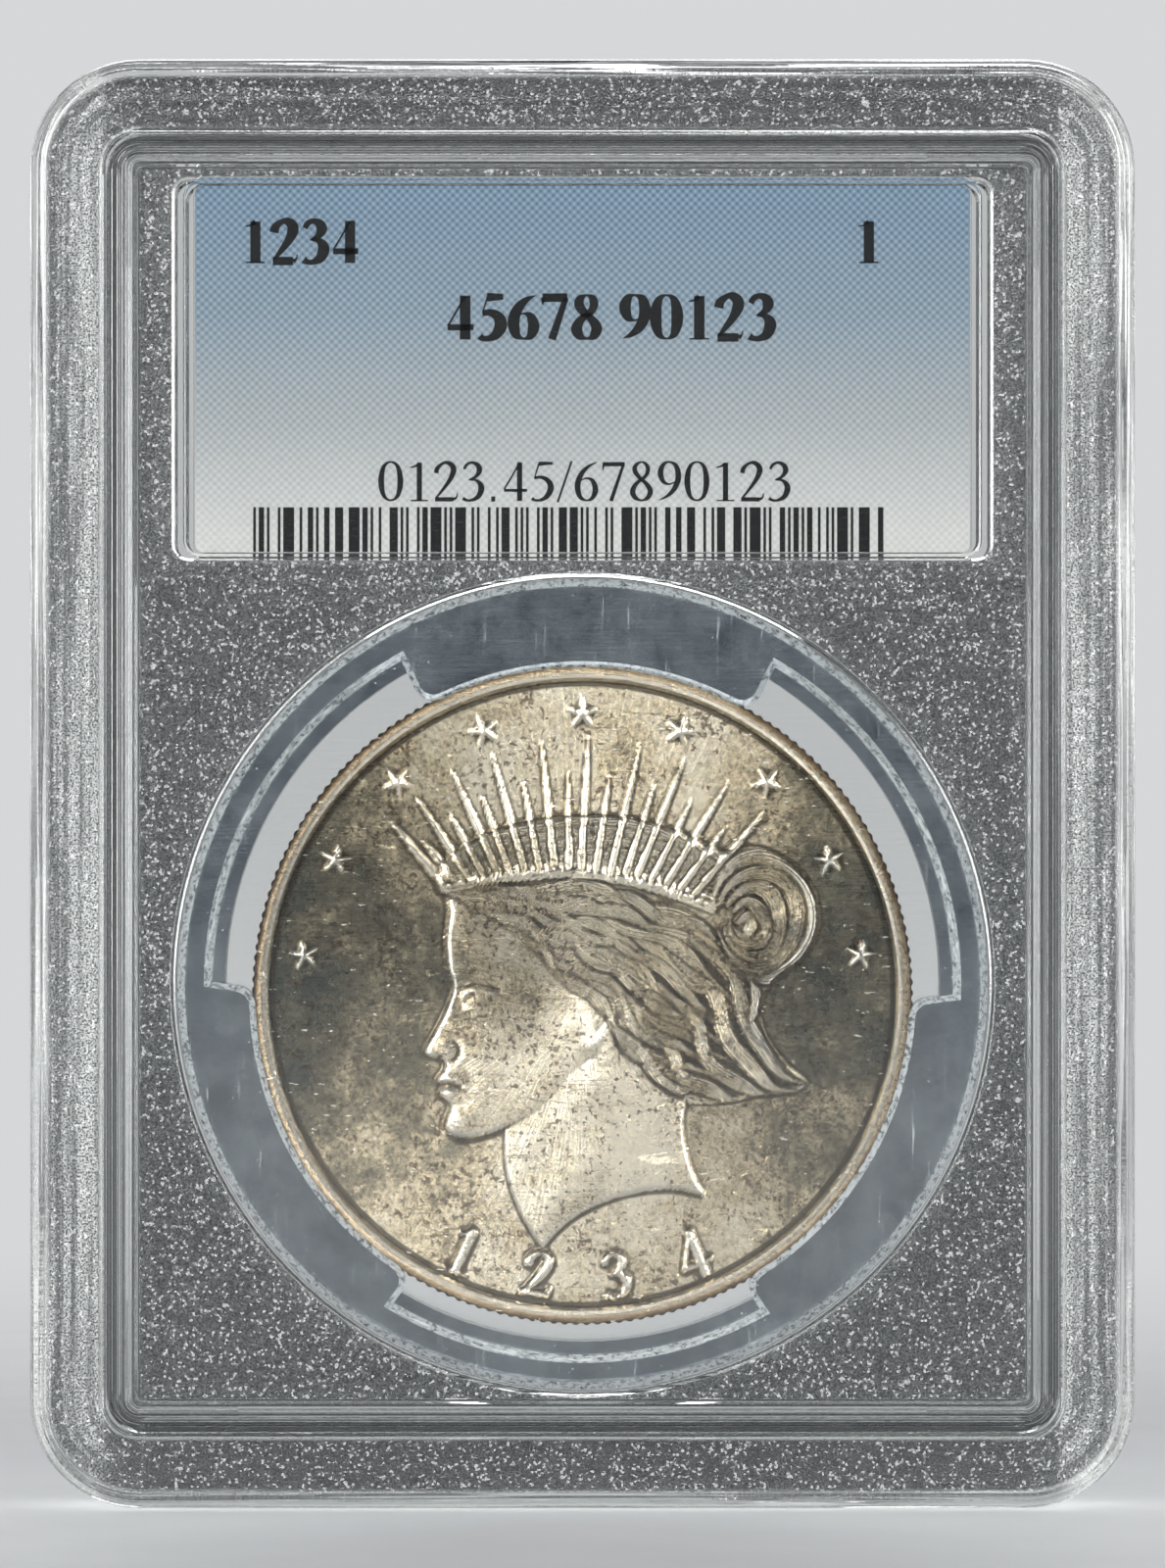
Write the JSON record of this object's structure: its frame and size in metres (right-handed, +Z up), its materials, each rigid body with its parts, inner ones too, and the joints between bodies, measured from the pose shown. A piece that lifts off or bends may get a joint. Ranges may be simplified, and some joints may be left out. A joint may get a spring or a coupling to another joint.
{
  "type": "graded coin slab",
  "caption": "Clear welded plastic holder with a raised frame, which seals a coin in a pronged gasket under a printed paper label.",
  "frame": {"origin": "under the middle of the parting plane, on the plane of the bottom edge, which is the centre of the box's bottom face", "axes": "+Z up along the slab's height, +X to the right seen from the front, -Y out of the front face"},
  "size_m": [0.0636, 0.008, 0.0833],
  "materials": {
    "clear_polystyrene": "polished",
    "clear_elastomer": "satin",
    "toned_silver": "satin",
    "printed_paper": "matte"
  },
  "bodies": {
    "root": {"front_shell": "clear_polystyrene", "rear_shell": "clear_polystyrene", "coin_gasket": "clear_elastomer", "coin": "toned_silver", "label_card": "printed_paper"}
  },
  "joints": []
}
